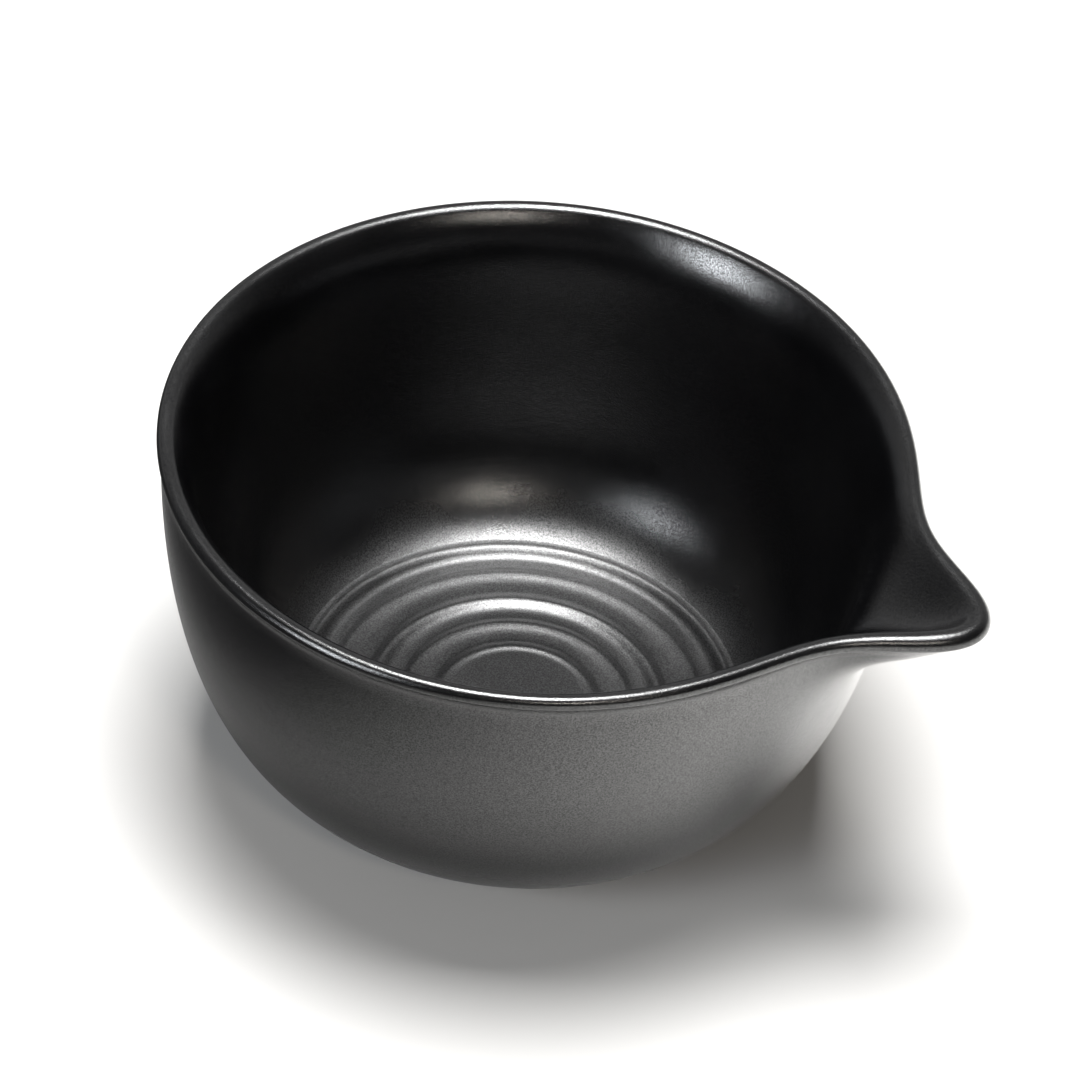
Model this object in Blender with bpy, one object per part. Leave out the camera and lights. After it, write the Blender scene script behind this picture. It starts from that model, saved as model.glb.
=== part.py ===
"""Thrown bowl with a pulled pouring spout, fired in one piece.

Metres, +Z up, the foot stands on Z = 0 and the spout points along +X. The
overall box is centred on the origin in X and Y, so the bowl's turning axis
lies a little behind it, by half of what the spout adds.
"""

import math

import bmesh
import bpy

# Overall sizes
RIM_RADIUS = 0.0625
BOWL_HEIGHT = 0.0669
SPOUT_REACH = 0.0192

# Lip: a tight round outside that stands out from the wall by LIP_OVERHANG,
# and a wider round inside that runs down into a flare.
LIP_RADIUS = 0.0013
LIP_OVERHANG = 0.00075
LIP_INNER_RADIUS = 0.0020
FLARE_SLOPE = math.radians(41.0)
FLARE_DEPTH = 0.0045

# Wall, from the rim down: radius = top radius * (1 - (depth / reach) ** 2)
# ** curve, so each face is upright at the top and flattens towards its base.
WALL_THICKNESS = 0.0060
OUTER_WALL_BASE = 0.0012
OUTER_WALL_CURVE = 0.195
INNER_WALL_BASE = 0.0074
INNER_WALL_CURVE = 0.16
WALL_FOOT_RADIUS = 0.0380

# Foot ring under the bowl and the recess inside it
FOOT_RADIUS = 0.0335
FOOT_WIDTH = 0.0036
RECESS_HEIGHT = 0.0028
FOOT_BEVEL = 0.0005

# Spout: the rim is drawn out by SPOUT_REACH at its middle. The pull fades
# sideways over SPOUT_SPREAD and down the wall over the two depths. The lip
# is thicker by LIP_SWELL at the tip. Inside, only the first SQUARE_OFFSET of
# the wall's half thickness is kept square to the spout's curve, so that the
# trough's tight end stays open.
SPOUT_SPREAD = math.radians(6.3)
SPOUT_DEPTH_OUTSIDE = 0.0100
SPOUT_DEPTH_INSIDE = 0.0090
SPOUT_FADE = 1.7
LIP_SWELL = 0.5
LIP_SWELL_SPREAD = math.radians(9.0)
LIP_SWELL_DEPTH = 0.0066
SQUARE_OFFSET = 0.0012

# Throwing rings on the floor, from the middle out. Each one rises slowly, then
# steeply, to its crest and drops quickly to the groove outside it.
FLOOR_HEIGHT = 0.0080
DISC_RADIUS = 0.0110
RISE_LAG = 2.0
RINGS = (
    # crest radius, crest height, groove radius, groove height
    (0.0129, 0.00820, 0.0150, 0.00790),
    (0.0188, 0.00825, 0.0205, 0.00800),
    (0.0244, 0.00880, 0.0264, 0.00850),
    (0.0310, 0.00900, 0.0324, 0.00880),
    (0.0366, 0.01012, 0.0373, 0.01005),
)

# Mesh density
SEGMENTS = 100
SEGMENT_CROWDING = 0.6
WALL_STEPS = 12
LIP_STEPS = 6
LIP_INNER_STEPS = 3
RING_STEPS = 2

RIM_LEVEL = BOWL_HEIGHT - LIP_RADIUS
LIP_MIDDLE = RIM_RADIUS - LIP_RADIUS
OUTER_WALL_RADIUS = RIM_RADIUS - LIP_OVERHANG
OUTER_WALL_REACH = RIM_LEVEL - OUTER_WALL_BASE
INNER_WALL_RADIUS = OUTER_WALL_RADIUS - WALL_THICKNESS
INNER_WALL_REACH = RIM_LEVEL - INNER_WALL_BASE
FLARE_TOP = RIM_LEVEL + LIP_RADIUS - LIP_INNER_RADIUS * (1 - math.sin(FLARE_SLOPE))
FLARE_REACH = FLARE_DEPTH * math.tan(FLARE_SLOPE)
SPOUT_LIMIT = 3 * SPOUT_DEPTH_OUTSIDE


def clear_scene():
    """Remove whatever the scene starts with."""
    for obj in list(bpy.data.objects):
        bpy.data.objects.remove(obj)


def ease(share):
    """Go from 0 to 1 along half a cosine wave."""
    return (1 - math.cos(math.pi * share)) / 2


def eased_points(start, end, steps, lag=1.0):
    """Points on a smooth step from start to end, leaving out the start."""
    points = []
    for step in range(1, steps + 1):
        share = step / steps
        radius = start[0] + (end[0] - start[0]) * share
        height = start[1] + (end[1] - start[1]) * ease(share**lag)
        points.append((radius, height))
    return points


def outer_radius(depth):
    """Radius of the wall's outer face at this depth below the rim level."""
    return OUTER_WALL_RADIUS * (1 - (depth / OUTER_WALL_REACH) ** 2) ** OUTER_WALL_CURVE


def inner_radius(depth):
    """Radius of the wall's inner face, with the flare under the lip."""
    plain = INNER_WALL_RADIUS * (1 - (depth / INNER_WALL_REACH) ** 2) ** INNER_WALL_CURVE
    below = FLARE_TOP - RIM_LEVEL + depth
    return plain + FLARE_REACH * math.exp(-below / FLARE_DEPTH)


def depth_at(radius, top_radius, reach, curve):
    """Depth at which a plain wall face has narrowed to this radius."""
    return reach * math.sqrt(1 - (radius / top_radius) ** (1 / curve))


def wall_points(face_radius, start, end):
    """Points down one face of the wall, closer together as it flattens."""
    points = []
    for step in range(WALL_STEPS + 1):
        share = math.sin(math.pi / 2 * step / WALL_STEPS)
        depth = start + (end - start) * share
        points.append((face_radius(depth), RIM_LEVEL - depth))
    return points


def underside_points():
    """Points from the middle of the recess, round the foot ring."""
    inner = FOOT_RADIUS - FOOT_WIDTH
    return [
        (0.0, RECESS_HEIGHT),
        (inner - 2 * FOOT_BEVEL, RECESS_HEIGHT),
        (inner, RECESS_HEIGHT - 2 * FOOT_BEVEL),
        (inner, FOOT_BEVEL),
        (inner + FOOT_BEVEL, 0.0),
        (FOOT_RADIUS - FOOT_BEVEL, 0.0),
        (FOOT_RADIUS, FOOT_BEVEL),
    ]


def lip_points():
    """Points over the lip, from its overhang to the top of the flare."""
    points = []
    for step in range(LIP_STEPS + 1):
        angle = math.pi * (0.75 * step / LIP_STEPS - 0.25)
        radius = LIP_MIDDLE + LIP_RADIUS * math.cos(angle)
        points.append((radius, RIM_LEVEL + LIP_RADIUS * math.sin(angle)))
    base = RIM_LEVEL + LIP_RADIUS - LIP_INNER_RADIUS
    for step in range(1, LIP_INNER_STEPS):
        angle = math.pi / 2 - (math.pi / 2 - FLARE_SLOPE) * step / LIP_INNER_STEPS
        radius = LIP_MIDDLE - LIP_INNER_RADIUS * math.cos(angle)
        points.append((radius, base + LIP_INNER_RADIUS * math.sin(angle)))
    return points


def floor_points():
    """Points from the middle of the floor out to the foot of the wall."""
    points = [(0.0, FLOOR_HEIGHT), (DISC_RADIUS, FLOOR_HEIGHT)]
    for crest_radius, crest_height, groove_radius, groove_height in RINGS:
        crest = (crest_radius, crest_height)
        groove = (groove_radius, groove_height)
        points += eased_points(points[-1], crest, RING_STEPS, RISE_LAG)
        points += eased_points(crest, groove, RING_STEPS)
    return points


def bowl_outline():
    """The whole closed section, from the underside round to the floor."""
    foot_depth = depth_at(
        FOOT_RADIUS, OUTER_WALL_RADIUS, OUTER_WALL_REACH, OUTER_WALL_CURVE
    )
    floor_depth = depth_at(
        WALL_FOOT_RADIUS, INNER_WALL_RADIUS, INNER_WALL_REACH, INNER_WALL_CURVE
    )
    outside = wall_points(outer_radius, 2 * LIP_RADIUS, foot_depth)
    inside = wall_points(inner_radius, RIM_LEVEL - FLARE_TOP, floor_depth)
    section = underside_points() + outside[::-1] + lip_points()
    return section + inside + floor_points()[::-1]


def turned(mesh, outline):
    """Spin the outline once round Z."""
    points = [mesh.verts.new((radius, 0.0, height)) for radius, height in outline]
    edges = [mesh.edges.new(pair) for pair in zip(points, points[1:])]
    bmesh.ops.spin(
        mesh,
        geom=points + edges,
        cent=(0.0, 0.0, 0.0),
        axis=(0.0, 0.0, 1.0),
        angle=2 * math.pi,
        steps=SEGMENTS,
        use_merge=True,
    )
    bmesh.ops.remove_doubles(mesh, verts=mesh.verts, dist=1e-6)


def drawn_out(radius, height, angle):
    """Where the spout takes a point of the wall or lip.

    The wall's middle surface is drawn outwards, and each face keeps its own
    distance from it, measured square to the drawn surface in plan.
    """
    depth = max(RIM_LEVEL - height, 0.0)
    middle = (outer_radius(depth) + inner_radius(depth)) / 2
    swell = LIP_SWELL * math.exp(-((angle / LIP_SWELL_SPREAD) ** 2))
    swell *= math.exp(-((depth / LIP_SWELL_DEPTH) ** 2))
    offset = radius - middle
    inward = min(offset + SQUARE_OFFSET, 0.0)
    offset = (offset - inward) * (1 + swell)
    height += max(height - RIM_LEVEL, 0.0) * swell
    fade_depth = SPOUT_DEPTH_OUTSIDE if offset > 0 else SPOUT_DEPTH_INSIDE
    pull = SPOUT_REACH * math.exp(-((depth / fade_depth) ** SPOUT_FADE))
    pull /= math.cosh(angle / SPOUT_SPREAD)
    slant = -pull * math.tanh(angle / SPOUT_SPREAD) / SPOUT_SPREAD
    drawn = middle + pull
    length = math.hypot(drawn, slant)
    outward = drawn + inward + offset * drawn / length
    sideways = -offset * slant / length
    x = outward * math.cos(angle) - sideways * math.sin(angle)
    y = outward * math.sin(angle) + sideways * math.cos(angle)
    return x, y, height


def draw_out_spout(mesh):
    """Crowd the segments round the spout, pull it out and centre the box."""
    tip = drawn_out(RIM_RADIUS, RIM_LEVEL, 0.0)[0]
    axis_x = (RIM_RADIUS - tip) / 2
    for vert in mesh.verts:
        radius = math.hypot(vert.co.x, vert.co.y)
        angle = math.atan2(vert.co.y, vert.co.x)
        angle -= SEGMENT_CROWDING * math.sin(angle)
        if RIM_LEVEL - vert.co.z < SPOUT_LIMIT:
            vert.co = drawn_out(radius, vert.co.z, angle)
        else:
            vert.co.x = radius * math.cos(angle)
            vert.co.y = radius * math.sin(angle)
        vert.co.x += axis_x


def glaze():
    """Satin black glaze."""
    material = bpy.data.materials.new("black_glaze")
    material.use_nodes = True
    shader = material.node_tree.nodes["Principled BSDF"]
    shader.inputs["Base Color"].default_value = (0.005, 0.005, 0.006, 1.0)
    shader.inputs["Roughness"].default_value = 0.34
    shader.inputs["Metallic"].default_value = 0.0
    return material


def make_bowl():
    """The bowl: wall, rolled lip, spout, ringed floor and foot ring in one."""
    mesh = bmesh.new()
    turned(mesh, bowl_outline())
    draw_out_spout(mesh)
    bmesh.ops.recalc_face_normals(mesh, faces=mesh.faces)
    for face in mesh.faces:
        face.smooth = True
    data = bpy.data.meshes.new("bowl")
    mesh.to_mesh(data)
    mesh.free()
    data.materials.append(glaze())
    bowl = bpy.data.objects.new("bowl", data)
    bpy.context.scene.collection.objects.link(bowl)


def main():
    """Build the whole object."""
    clear_scene()
    make_bowl()


main()
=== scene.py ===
"""Studio scene of a thrown ceramic bowl with a pulled pouring spout.

The bowl is one fired piece, so the scene has one detailed mesh that stands
for the CAD node, dressed in satin black glaze with bare clay where the foot
ring stands. Metres, +Z up, spout along +X, as in the frame.
"""

from __future__ import annotations

import logging
import math
from dataclasses import dataclass, field
from enum import Enum

import bmesh
import bpy
from mathutils import Matrix, Vector

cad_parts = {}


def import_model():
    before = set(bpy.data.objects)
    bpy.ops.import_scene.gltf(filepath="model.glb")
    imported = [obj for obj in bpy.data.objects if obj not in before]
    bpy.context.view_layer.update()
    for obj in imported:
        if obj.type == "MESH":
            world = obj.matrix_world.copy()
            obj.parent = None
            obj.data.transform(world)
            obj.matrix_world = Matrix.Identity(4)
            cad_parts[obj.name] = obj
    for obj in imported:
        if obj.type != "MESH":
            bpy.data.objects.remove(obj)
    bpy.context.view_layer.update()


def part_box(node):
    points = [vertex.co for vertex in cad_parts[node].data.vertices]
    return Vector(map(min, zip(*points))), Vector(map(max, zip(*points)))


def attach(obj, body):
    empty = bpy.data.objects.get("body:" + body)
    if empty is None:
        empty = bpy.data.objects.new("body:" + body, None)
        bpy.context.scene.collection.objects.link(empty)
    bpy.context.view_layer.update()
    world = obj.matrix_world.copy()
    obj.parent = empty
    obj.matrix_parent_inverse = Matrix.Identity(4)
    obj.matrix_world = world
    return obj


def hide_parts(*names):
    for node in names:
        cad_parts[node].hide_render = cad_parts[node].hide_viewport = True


LOG = logging.getLogger("bowl_scene")

Point = tuple[float, float]
Colour = tuple[float, float, float]

# Radius of the plain rim, and height of the middle of its rounded lip.
RIM_RADIUS = 0.0625
RIM_LEVEL = 0.0656

# The point that the camera and the lights face.
AIM = (-0.0040, -0.0085, 0.0541)

# Points of the section closer than this are one point.
MERGE_DISTANCE = 1e-6

# Places of the colour sockets on a Mix node.
MIX_FIRST, MIX_SECOND, MIX_RESULT = 6, 7, 2


class Face(Enum):
    """The two sides of the bowl's wall."""

    OUTSIDE = "outside"
    INSIDE = "inside"


class Light(Enum):
    """The studio's lights, by what they stand for."""

    OVERHEAD = "overhead"
    WINDOW = "window"
    LAMP = "lamp"


def ease(share: float) -> float:
    """Go from 0 to 1 along half a cosine wave.

    Args:
        share: How far along, from 0 to 1.

    Returns:
        The eased value, from 0 to 1.
    """
    return (1 - math.cos(math.pi * share)) / 2


def bell(value: float, width: float) -> float:
    """A bell curve that is 1 at zero.

    Args:
        value: Distance from the middle.
        width: Distance at which the curve has fallen to 1/e.

    Returns:
        The height of the curve, from 0 to 1.
    """
    return math.exp(-((value / width) ** 2))


class NodeGraph:
    """A material's node tree, with short calls to add and join nodes."""

    def __init__(self, name: str) -> None:
        """Start an empty material with one Principled shader.

        Args:
            name: The material's name.
        """
        self.material = bpy.data.materials.new(name)
        self.material.use_nodes = True
        self.tree = self.material.node_tree
        self.shader = self.tree.nodes["Principled BSDF"]
        self.coords = self.tree.nodes.new("ShaderNodeTexCoord")

    def join(self, source: bpy.types.NodeSocket, target: bpy.types.NodeSocket) -> None:
        """Link two sockets.

        Args:
            source: The output socket.
            target: The input socket.
        """
        self.tree.links.new(source, target)

    def noise(self, scale: float, detail: float, roughness: float = 0.5) -> bpy.types.NodeSocket:
        """Add noise in the object's own coordinates.

        Args:
            scale: Noise cells per metre.
            detail: Octaves of finer noise.
            roughness: How strong the finer octaves are.

        Returns:
            The noise's factor socket.
        """
        node = self.tree.nodes.new("ShaderNodeTexNoise")
        node.inputs["Scale"].default_value = scale
        node.inputs["Detail"].default_value = detail
        node.inputs["Roughness"].default_value = roughness
        self.join(self.coords.outputs["Object"], node.inputs["Vector"])
        return node.outputs["Fac"]

    def along(self, direction: Vector) -> bpy.types.NodeSocket:
        """Measure how far a point lies along a direction.

        Args:
            direction: The unit direction, in the object's coordinates.

        Returns:
            The distance's socket, in metres.
        """
        node = self.tree.nodes.new("ShaderNodeVectorMath")
        node.operation = "DOT_PRODUCT"
        self.join(self.coords.outputs["Object"], node.inputs[0])
        node.inputs[1].default_value = direction
        return node.outputs["Value"]

    def total(
        self, first: bpy.types.NodeSocket, second: bpy.types.NodeSocket
    ) -> bpy.types.NodeSocket:
        """Add two values.

        Args:
            first: One value.
            second: The other value.

        Returns:
            The sum's socket.
        """
        node = self.tree.nodes.new("ShaderNodeMath")
        node.operation = "ADD"
        self.join(first, node.inputs[0])
        self.join(second, node.inputs[1])
        return node.outputs[0]

    def mapped(
        self,
        source: bpy.types.NodeSocket,
        low: float,
        high: float,
        from_low: float = 0.0,
        from_high: float = 1.0,
    ) -> bpy.types.NodeSocket:
        """Map a value to a new range.

        Args:
            source: The value.
            low: Result where the value is from_low.
            high: Result where the value is from_high.
            from_low: Start of the value's range.
            from_high: End of the value's range.

        Returns:
            The mapped value's socket.
        """
        node = self.tree.nodes.new("ShaderNodeMapRange")
        node.inputs["From Min"].default_value = from_low
        node.inputs["From Max"].default_value = from_high
        node.inputs["To Min"].default_value = low
        node.inputs["To Max"].default_value = high
        self.join(source, node.inputs["Value"])
        return node.outputs["Result"]

    def blend(
        self,
        share: bpy.types.NodeSocket,
        first: Colour | bpy.types.NodeSocket,
        second: Colour,
    ) -> bpy.types.NodeSocket:
        """Mix two colours.

        Args:
            share: 0 gives the first colour and 1 the second.
            first: The first colour, or a socket that carries it.
            second: The second colour.

        Returns:
            The mixed colour's socket.
        """
        node = self.tree.nodes.new("ShaderNodeMix")
        node.data_type = "RGBA"
        if isinstance(first, bpy.types.NodeSocket):
            self.join(first, node.inputs[MIX_FIRST])
        else:
            node.inputs[MIX_FIRST].default_value = (*first, 1.0)
        node.inputs[MIX_SECOND].default_value = (*second, 1.0)
        self.join(share, node.inputs[0])
        return node.outputs[MIX_RESULT]

    def camera_ray(self) -> bpy.types.NodeSocket:
        """Tell what the camera sees from what a glaze mirrors.

        Returns:
            A socket that is 1 for camera rays and 0 for others.
        """
        node = self.tree.nodes.new("ShaderNodeLightPath")
        return node.outputs["Is Camera Ray"]

    def bump(
        self,
        height: bpy.types.NodeSocket,
        depth: float,
        below: bpy.types.NodeSocket | None = None,
    ) -> bpy.types.NodeSocket:
        """Turn a height into a bumped normal.

        Args:
            height: The height, from 0 to 1.
            depth: How deep the relief is, in metres.
            below: A normal that this bump adds to.

        Returns:
            The normal's socket.
        """
        node = self.tree.nodes.new("ShaderNodeBump")
        node.inputs["Strength"].default_value = 1.0
        node.inputs["Distance"].default_value = depth
        self.join(height, node.inputs["Height"])
        if below is not None:
            self.join(below, node.inputs["Normal"])
        return node.outputs["Normal"]


@dataclass(frozen=True)
class SatinGlaze:
    """Satin black glaze, fine-grained and more matt low down in the bowl."""

    dark: Colour = (0.0006, 0.0006, 0.0007)
    pale: Colour = (0.0014, 0.0014, 0.0016)
    ior: float = 1.52
    matt_below: float = 0.0096
    smooth_above: float = 0.0224
    floor_roughness: float = 0.31
    wall_roughness: float = 0.19
    lip_start: float = 0.0637
    lip_full: float = 0.0663
    lip_extra: float = 0.05
    mottle_scale: float = 60.0
    mottle_from: float = 0.3
    mottle_to: float = 0.7
    uneven: float = 0.04
    grain_scale: float = 3600.0
    grain_depth: float = 0.00003
    grain_from: float = 0.38
    grain_to: float = 0.62
    low_gloss: float = 0.30
    high_gloss: float = 0.80
    ripple_scale: float = 170.0
    ripple_depth: float = 0.00004

    def material(self) -> bpy.types.Material:
        """Build the glaze.

        Returns:
            The finished material.
        """
        graph = NodeGraph("black_glaze")
        mottle = graph.noise(self.mottle_scale, detail=4.0)
        grain = graph.noise(self.grain_scale, detail=3.0, roughness=0.7)
        ripple = graph.noise(self.ripple_scale, detail=2.0)
        colour = graph.blend(mottle, self.dark, self.pale)
        graph.join(colour, graph.shader.inputs["Base Color"])
        height = graph.along(Vector((0.0, 0.0, 1.0)))
        roughness = graph.mapped(
            height,
            self.floor_roughness,
            self.wall_roughness,
            self.matt_below,
            self.smooth_above,
        )
        lip = graph.mapped(height, 0.0, self.lip_extra, self.lip_start, self.lip_full)
        patches = graph.mapped(
            mottle, -self.uneven, self.uneven, self.mottle_from, self.mottle_to
        )
        roughness = graph.total(graph.total(roughness, lip), patches)
        graph.join(roughness, graph.shader.inputs["Roughness"])
        gloss = graph.mapped(
            grain, self.low_gloss, self.high_gloss, self.grain_from, self.grain_to
        )
        graph.join(gloss, graph.shader.inputs["Specular IOR Level"])
        relief = graph.bump(ripple, self.ripple_depth)
        relief = graph.bump(grain, self.grain_depth, relief)
        graph.join(relief, graph.shader.inputs["Normal"])
        graph.shader.inputs["IOR"].default_value = self.ior
        return graph.material


@dataclass(frozen=True)
class BareClay:
    """Unglazed dark stoneware, where the foot ring was wiped clean."""

    dark: Colour = (0.060, 0.045, 0.036)
    pale: Colour = (0.110, 0.085, 0.068)
    roughness: float = 0.85
    speckle_scale: float = 1500.0
    grit_scale: float = 2500.0
    grit_depth: float = 0.00005

    def material(self) -> bpy.types.Material:
        """Build the clay.

        Returns:
            The finished material.
        """
        graph = NodeGraph("bare_clay")
        speckle = graph.noise(self.speckle_scale, detail=4.0, roughness=0.7)
        colour = graph.blend(speckle, self.dark, self.pale)
        graph.join(colour, graph.shader.inputs["Base Color"])
        graph.shader.inputs["Roughness"].default_value = self.roughness
        relief = graph.bump(graph.noise(self.grit_scale, detail=4.0), self.grit_depth)
        graph.join(relief, graph.shader.inputs["Normal"])
        return graph.material


@dataclass(frozen=True)
class Ring:
    """One throwing ring on the floor: a crest and the groove outside it."""

    crest_radius: float
    crest_height: float
    groove_radius: float
    groove_height: float


@dataclass
class BowlSizes:
    """The bowl's sizes in metres, and how finely it is modelled."""

    axis_x: float
    rim_radius: float
    rim_level: float
    lip_radius: float = 0.0013
    lip_overhang: float = 0.00075
    lip_start: float = math.radians(-45.0)
    lip_inner_radius: float = 0.0020
    flare_slope: float = math.radians(41.0)
    flare_depth: float = 0.0045
    wall_thickness: float = 0.0060
    outer_wall_base: float = 0.0012
    outer_wall_curve: float = 0.195
    inner_wall_base: float = 0.0074
    inner_wall_curve: float = 0.16
    reach_limit: float = 0.9999
    wall_foot_radius: float = 0.0380
    foot_radius: float = 0.0335
    foot_width: float = 0.0036
    foot_round: float = 0.0007
    clay_level: float = 0.00063
    recess_height: float = 0.0028
    recess_round: float = 0.0015
    floor_height: float = 0.0080
    disc_radius: float = 0.0110
    rise_lag: float = 2.0
    spout_reach: float = 0.0192
    spout_spread: float = math.radians(6.3)
    spout_depth_outside: float = 0.0100
    spout_depth_inside: float = 0.0090
    spout_fade: float = 1.7
    lip_swell: float = 0.5
    lip_swell_spread: float = math.radians(9.0)
    lip_swell_depth: float = 0.0066
    square_offset: float = 0.0012
    spout_limit: float = 0.035
    rings: tuple[Ring, ...] = (
        Ring(0.0129, 0.00820, 0.0150, 0.00790),
        Ring(0.0188, 0.00825, 0.0205, 0.00800),
        Ring(0.0244, 0.00880, 0.0264, 0.00850),
        Ring(0.0310, 0.00900, 0.0324, 0.00880),
        Ring(0.0366, 0.01012, 0.0373, 0.01005),
    )
    segments: int = 384
    segment_crowding: float = 0.6
    wall_steps: int = 44
    lip_steps: int = 18
    lip_inner_steps: int = 8
    ring_steps: int = 7
    corner_steps: int = 6

    @property
    def lip_middle(self) -> float:
        """Radius of the circle that the lip is rounded about.

        Returns:
            The radius.
        """
        return self.rim_radius - self.lip_radius

    @property
    def flare_top(self) -> float:
        """Height at which the lip's inner round runs into the flare.

        Returns:
            The height.
        """
        drop = self.lip_inner_radius * (1 - math.sin(self.flare_slope))
        return self.rim_level + self.lip_radius - drop

    def face_top(self, face: Face) -> float:
        """Radius of one face of the plain wall at the rim's level.

        Args:
            face: Which face.

        Returns:
            The radius, without the flare.
        """
        outer = self.rim_radius - self.lip_overhang
        return outer if face is Face.OUTSIDE else outer - self.wall_thickness

    def face_reach(self, face: Face) -> float:
        """Depth below the rim's level at which one face would lie flat.

        Args:
            face: Which face.

        Returns:
            The depth.
        """
        base = self.outer_wall_base if face is Face.OUTSIDE else self.inner_wall_base
        return self.rim_level - base

    def face_curve(self, face: Face) -> float:
        """Exponent of one face's curve.

        Args:
            face: Which face.

        Returns:
            The exponent.
        """
        return self.outer_wall_curve if face is Face.OUTSIDE else self.inner_wall_curve

    def wall_radius(self, face: Face, depth: float) -> float:
        """Radius of one face of the wall.

        Args:
            face: Which face.
            depth: Depth below the rim's level.

        Returns:
            The radius at that depth, before the spout is drawn out.
        """
        share = min(depth / self.face_reach(face), self.reach_limit)
        plain = self.face_top(face) * (1 - share**2) ** self.face_curve(face)
        if face is Face.OUTSIDE:
            return plain
        below = self.flare_top - self.rim_level + depth
        flare = self.flare_depth * math.tan(self.flare_slope)
        return plain + flare * math.exp(-below / self.flare_depth)

    def wall_end(self, face: Face, radius: float) -> float:
        """Depth at which one face has narrowed to a radius.

        Args:
            face: Which face.
            radius: The radius at the foot of the wall.

        Returns:
            The depth below the rim's level.
        """
        share = (radius / self.face_top(face)) ** (1 / self.face_curve(face))
        return self.face_reach(face) * math.sqrt(1 - share)


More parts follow.
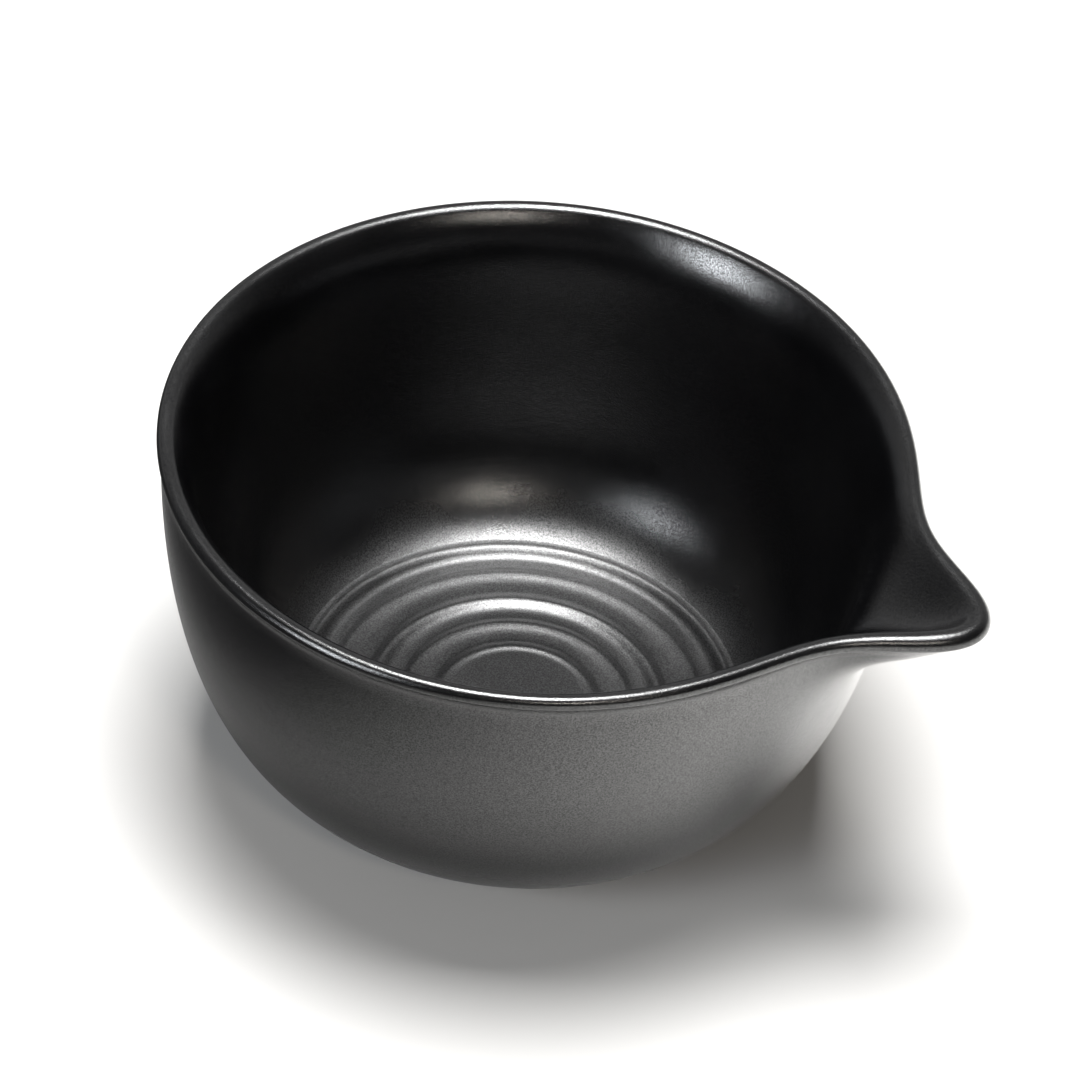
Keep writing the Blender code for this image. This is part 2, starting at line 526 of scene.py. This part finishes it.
@dataclass
class SpoutedBowl:
    """The whole bowl: wall, lip, spout, ringed floor and foot ring."""

    sizes: BowlSizes
    glaze: SatinGlaze = field(default_factory=SatinGlaze)
    clay: BareClay = field(default_factory=BareClay)

    def underside(self) -> list[Point]:
        """Section points from the middle of the recess round the foot.

        Returns:
            Radius and height pairs.
        """
        size = self.sizes
        inner = size.foot_radius - size.foot_width
        points = [(0.0, size.recess_height), (inner / 2, size.recess_height)]
        fillet, edge = size.recess_round, size.foot_round
        points += self.corner(inner - fillet, size.recess_height - fillet, fillet, 90)
        points += self.corner(inner + edge, edge, edge, 180, 270)
        points += self.corner(size.foot_radius - edge, edge, edge, 270, 360)
        return points

    def corner(
        self, x: float, z: float, radius: float, start: float, end: float = 0.0
    ) -> list[Point]:
        """Points on a round corner of the section.

        Args:
            x: Radius of the corner's centre from the turning axis.
            z: Height of the corner's centre.
            radius: The corner's own radius.
            start: Angle of the first point, in degrees.
            end: Angle of the last point, in degrees.

        Returns:
            Radius and height pairs.
        """
        points = []
        steps = self.sizes.corner_steps
        for step in range(steps + 1):
            angle = math.radians(start + (end - start) * step / steps)
            points.append((x + radius * math.cos(angle), z + radius * math.sin(angle)))
        return points

    def wall(self, face: Face, start_depth: float, end_radius: float) -> list[Point]:
        """Section points down one face of the wall.

        Args:
            face: Which face.
            start_depth: Depth of the first point below the rim's level.
            end_radius: Radius of the plain wall at the last point.

        Returns:
            Radius and height pairs, from the top down.
        """
        size = self.sizes
        end_depth = size.wall_end(face, end_radius)
        points = []
        for step in range(size.wall_steps + 1):
            share = math.sin(math.pi / 2 * step / size.wall_steps)
            depth = start_depth + (end_depth - start_depth) * share
            points.append((size.wall_radius(face, depth), size.rim_level - depth))
        return points

    def lip(self) -> list[Point]:
        """Section points over the lip, from its overhang to the flare.

        Returns:
            Radius and height pairs.
        """
        size = self.sizes
        points = []
        for step in range(size.lip_steps + 1):
            angle = size.lip_start + (math.pi / 2 - size.lip_start) * step / size.lip_steps
            radius = size.lip_middle + size.lip_radius * math.cos(angle)
            points.append((radius, size.rim_level + size.lip_radius * math.sin(angle)))
        base = size.rim_level + size.lip_radius - size.lip_inner_radius
        for step in range(1, size.lip_inner_steps):
            turned = (math.pi / 2 - size.flare_slope) * step / size.lip_inner_steps
            radius = size.lip_middle - size.lip_inner_radius * math.sin(turned)
            points.append((radius, base + size.lip_inner_radius * math.cos(turned)))
        return points

    def floor(self) -> list[Point]:
        """Section points from the middle of the floor to the wall.

        Returns:
            Radius and height pairs.
        """
        size = self.sizes
        points = [(0.0, size.floor_height), (size.disc_radius / 2, size.floor_height)]
        points.append((size.disc_radius, size.floor_height))
        for ring in size.rings:
            crest = (ring.crest_radius, ring.crest_height)
            groove = (ring.groove_radius, ring.groove_height)
            points += self.slope(points[-1], crest, size.rise_lag)
            points += self.slope(crest, groove)
        return points

    def slope(self, start: Point, end: Point, lag: float = 1.0) -> list[Point]:
        """Section points on one smooth flank of a throwing ring.

        Args:
            start: Where the flank begins. It is left out of the result.
            end: Where it ends.
            lag: Above 1, the flank starts gently and ends steeply.

        Returns:
            Radius and height pairs.
        """
        points = []
        for step in range(1, self.sizes.ring_steps + 1):
            share = step / self.sizes.ring_steps
            radius = start[0] + (end[0] - start[0]) * share
            height = start[1] + (end[1] - start[1]) * ease(share**lag)
            points.append((radius, height))
        return points

    def section(self) -> list[Point]:
        """The bowl's closed section.

        Returns:
            Radius and height pairs, from the underside round to the floor.
        """
        size = self.sizes
        outside = self.wall(Face.OUTSIDE, 2 * size.lip_radius, size.foot_radius)
        inside = self.wall(Face.INSIDE, size.rim_level - size.flare_top, size.wall_foot_radius)
        rising = self.underside() + outside[::-1] + self.lip()
        return rising + inside + self.floor()[::-1]

    def drawn_out(self, radius: float, height: float, angle: float) -> Vector:
        """Where the spout takes a point of the wall or lip.

        Args:
            radius: The point's radius on the plain turned bowl.
            height: Its height.
            angle: Its angle from the spout's middle.

        Returns:
            The point's place, measured from the turning axis.
        """
        size = self.sizes
        depth = max(size.rim_level - height, 0.0)
        middle = sum(size.wall_radius(face, depth) for face in Face) / 2
        swell = size.lip_swell * bell(angle, size.lip_swell_spread)
        swell *= bell(depth, size.lip_swell_depth)
        offset = radius - middle
        inward = min(offset + size.square_offset, 0.0)
        offset = (offset - inward) * (1 + swell)
        height += max(height - size.rim_level, 0.0) * swell
        fade = size.spout_depth_outside if offset > 0 else size.spout_depth_inside
        pull = size.spout_reach * math.exp(-((depth / fade) ** size.spout_fade))
        pull /= math.cosh(angle / size.spout_spread)
        slant = -pull * math.tanh(angle / size.spout_spread) / size.spout_spread
        drawn = middle + pull
        length = math.hypot(drawn, slant)
        outward = drawn + inward + offset * drawn / length
        sideways = -offset * slant / length
        return Vector(
            (
                outward * math.cos(angle) - sideways * math.sin(angle),
                outward * math.sin(angle) + sideways * math.cos(angle),
                height,
            )
        )

    def turn(self, mesh: bmesh.types.BMesh) -> None:
        """Spin the section once round the axis.

        Args:
            mesh: The empty mesh that receives the turned bowl.
        """
        points = [mesh.verts.new((radius, 0.0, height)) for radius, height in self.section()]
        edges = [mesh.edges.new(pair) for pair in zip(points, points[1:])]
        bmesh.ops.spin(
            mesh,
            geom=points + edges,
            cent=(0.0, 0.0, 0.0),
            axis=(0.0, 0.0, 1.0),
            angle=2 * math.pi,
            steps=self.sizes.segments,
            use_merge=True,
        )
        bmesh.ops.remove_doubles(mesh, verts=mesh.verts, dist=MERGE_DISTANCE)

    def shape_spout(self, mesh: bmesh.types.BMesh) -> None:
        """Crowd the segments round the spout and draw the spout out.

        Args:
            mesh: The turned bowl.
        """
        size = self.sizes
        for vert in mesh.verts:
            radius = math.hypot(vert.co.x, vert.co.y)
            angle = math.atan2(vert.co.y, vert.co.x)
            angle -= size.segment_crowding * math.sin(angle)
            if size.rim_level - vert.co.z < size.spout_limit:
                vert.co = self.drawn_out(radius, vert.co.z, angle)
            else:
                vert.co.x = radius * math.cos(angle)
                vert.co.y = radius * math.sin(angle)
            vert.co.x += size.axis_x

    def mark_clay(self, mesh: bmesh.types.BMesh) -> None:
        """Give the faces that stand on the table the clay's material slot.

        Args:
            mesh: The finished shape.
        """
        for face in mesh.faces:
            face.smooth = True
            low = face.calc_center_median().z < self.sizes.clay_level
            face.material_index = 1 if low else 0

    def build(self) -> bpy.types.Object:
        """Make and dress the bowl.

        Returns:
            The bowl's object, at the origin with no transform.
        """
        mesh = bmesh.new()
        self.turn(mesh)
        self.shape_spout(mesh)
        bmesh.ops.recalc_face_normals(mesh, faces=mesh.faces)
        self.mark_clay(mesh)
        data = bpy.data.meshes.new("glazed_bowl")
        mesh.to_mesh(data)
        mesh.free()
        data.materials.append(self.glaze.material())
        data.materials.append(self.clay.material())
        bowl = bpy.data.objects.new("glazed_bowl", data)
        bpy.context.scene.collection.objects.link(bowl)
        LOG.info("bowl: %d faces", len(data.polygons))
        return bowl


@dataclass(frozen=True)
class Softbox:
    """One area light, placed round the bowl."""

    kind: Light
    azimuth: float
    elevation: float
    distance: float
    width: float
    length: float
    power: float
    colour: Colour = (1.0, 1.0, 1.0)

    def build(self, target: Vector) -> bpy.types.Object:
        """Set the light up, facing the target.

        Args:
            target: The point it faces.

        Returns:
            The light's object.
        """
        data = bpy.data.lights.new(f"light_{self.kind.value}", "AREA")
        data.shape = "RECTANGLE"
        data.size = self.width
        data.size_y = self.length
        data.energy = self.power
        data.color = self.colour
        light = bpy.data.objects.new(data.name, data)
        around = math.radians(self.azimuth)
        rise = math.radians(self.elevation)
        direction = Vector(
            (math.cos(around) * math.cos(rise), math.sin(around) * math.cos(rise), math.sin(rise))
        )
        light.location = target + direction * self.distance
        light.rotation_euler = direction.to_track_quat("Z", "Y").to_euler()
        bpy.context.scene.collection.objects.link(light)
        LOG.info("light: %s", self.kind.value)
        return light


@dataclass
class Studio:
    """Pale floor, lights, surroundings and camera."""

    target: Vector
    floor_size: float = 8.0
    floor_seen: Colour = (0.40, 0.395, 0.387)
    # Floor colours that only the glaze's reflections see: painted shade on the camera's left,
    # fading to the lit floor on its right.
    reflected_floor_painted_shade: Colour = (0.02, 0.02, 0.02)
    reflected_floor_lit: Colour = (0.92, 0.91, 0.89)
    floor_roughness: float = 0.9
    floor_gloss: float = 0.1
    painted_shade_until: float = -0.10
    painted_shade_ends: float = 0.08
    room_fill: float = 0.13
    room_mirrored_ahead: float = 0.05
    room_mirrored_behind: float = 0.50
    room_behind_from: float = 0.7
    camera_distance: float = 1.0835
    camera_azimuth: float = 26.12
    camera_elevation: float = 42.14
    camera_roll: float = 4.89
    camera_lens: float = 219.9
    camera_sensor: float = 36.0
    camera_clip: float = 0.05
    lights: tuple[Softbox, ...] = (
        Softbox(Light.OVERHEAD, 114.0, 84.0, 1.2, 0.58, 0.58, 50.0),
        Softbox(Light.WINDOW, -115.0, 20.0, 1.4, 0.38, 0.80, 21.0, (0.93, 0.96, 1.0)),
        Softbox(Light.LAMP, -45.0, 40.0, 1.4, 0.16, 0.16, 3.8, (1.0, 0.93, 0.85)),
    )

    def floor(self) -> bpy.types.Object:
        """A pale floor that the bowl stands on.

        In the glaze's reflections it darkens towards the camera's left: painted shade that stands
        in for less light falling on that side of the floor.

        Returns:
            The floor's object.
        """
        mesh = bmesh.new()
        bmesh.ops.create_grid(mesh, x_segments=1, y_segments=1, size=self.floor_size / 2)
        data = bpy.data.meshes.new("floor")
        mesh.to_mesh(data)
        mesh.free()
        graph = NodeGraph("pale_floor")
        side = math.radians(self.camera_azimuth)
        # Painted shade in reflections only: the mirrored floor darkens towards the camera's left,
        # while camera rays see the even pale floor.
        across = graph.along(Vector((math.cos(side), math.sin(side), 0.0)))
        share = graph.mapped(across, 0.0, 1.0, self.painted_shade_until, self.painted_shade_ends)
        mirrored = graph.blend(share, self.reflected_floor_painted_shade, self.reflected_floor_lit)
        seen = graph.blend(graph.camera_ray(), mirrored, self.floor_seen)
        graph.join(seen, graph.shader.inputs["Base Color"])
        graph.shader.inputs["Roughness"].default_value = self.floor_roughness
        graph.shader.inputs["Specular IOR Level"].default_value = self.floor_gloss
        data.materials.append(graph.material)
        floor = bpy.data.objects.new("floor", data)
        bpy.context.scene.collection.objects.link(floor)
        return floor

    def surroundings(self) -> None:
        """A room with a dark front and pale walls behind the bowl."""
        world = bpy.data.worlds.new("room")
        world.use_nodes = True
        tree = world.node_tree
        side = math.radians(self.camera_azimuth)
        place = tree.nodes.new("ShaderNodeTexCoord")
        away = tree.nodes.new("ShaderNodeVectorMath")
        away.operation = "DOT_PRODUCT"
        away.inputs[1].default_value = (-math.sin(side), math.cos(side), 0.0)
        mirrored = tree.nodes.new("ShaderNodeMapRange")
        mirrored.inputs["From Max"].default_value = self.room_behind_from
        mirrored.inputs["To Min"].default_value = self.room_mirrored_ahead
        mirrored.inputs["To Max"].default_value = self.room_mirrored_behind
        path = tree.nodes.new("ShaderNodeLightPath")
        level = tree.nodes.new("ShaderNodeMapRange")
        level.inputs["To Min"].default_value = self.room_fill
        background = tree.nodes["Background"]
        background.inputs["Color"].default_value = (1.0, 1.0, 1.0, 1.0)
        tree.links.new(place.outputs["Generated"], away.inputs[0])
        tree.links.new(away.outputs["Value"], mirrored.inputs["Value"])
        tree.links.new(path.outputs["Is Glossy Ray"], level.inputs["Value"])
        tree.links.new(mirrored.outputs["Result"], level.inputs["To Max"])
        tree.links.new(level.outputs["Result"], background.inputs["Strength"])
        bpy.context.scene.world = world

    def camera(self) -> bpy.types.Object:
        """A long lens looking down into the bowl.

        Returns:
            The camera's object.
        """
        data = bpy.data.cameras.new("camera")
        data.lens = self.camera_lens
        data.sensor_width = self.camera_sensor
        data.clip_start = self.camera_clip
        camera = bpy.data.objects.new("camera", data)
        around = math.radians(self.camera_azimuth)
        rise = math.radians(self.camera_elevation)
        direction = Vector(
            (math.sin(around) * math.cos(rise), -math.cos(around) * math.cos(rise), math.sin(rise))
        )
        turn = direction.to_track_quat("Z", "Y").to_matrix().to_4x4()
        roll = Matrix.Rotation(math.radians(self.camera_roll), 4, "Z")
        place = Matrix.Translation(self.target + direction * self.camera_distance)
        camera.matrix_world = place @ turn @ roll
        bpy.context.scene.collection.objects.link(camera)
        bpy.context.scene.camera = camera
        return camera

    def build(self) -> list[bpy.types.Object]:
        """Set the whole studio up.

        Returns:
            The objects that aren't part of the bowl.
        """
        self.surroundings()
        self.camera()
        for light in self.lights:
            light.build(self.target)
        return [self.floor()]


def bowl_sizes() -> BowlSizes:
    """Place the bowl's turning axis from the frame's box.

    Returns:
        The sizes that the detailed mesh is built to.
    """
    low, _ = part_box("bowl")
    return BowlSizes(axis_x=low[0] + RIM_RADIUS, rim_radius=RIM_RADIUS, rim_level=RIM_LEVEL)


def main() -> None:
    """Load the frame, then build the bowl and the studio round it."""
    logging.basicConfig(level=logging.INFO, format="%(name)s %(message)s")
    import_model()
    bowl = SpoutedBowl(bowl_sizes()).build()
    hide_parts("bowl")
    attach(bowl, "root")
    bpy.context.scene.view_settings.view_transform = "Standard"
    studio = Studio(target=Vector(AIM))
    studio.build()


if __name__ == "__main__":
    main()
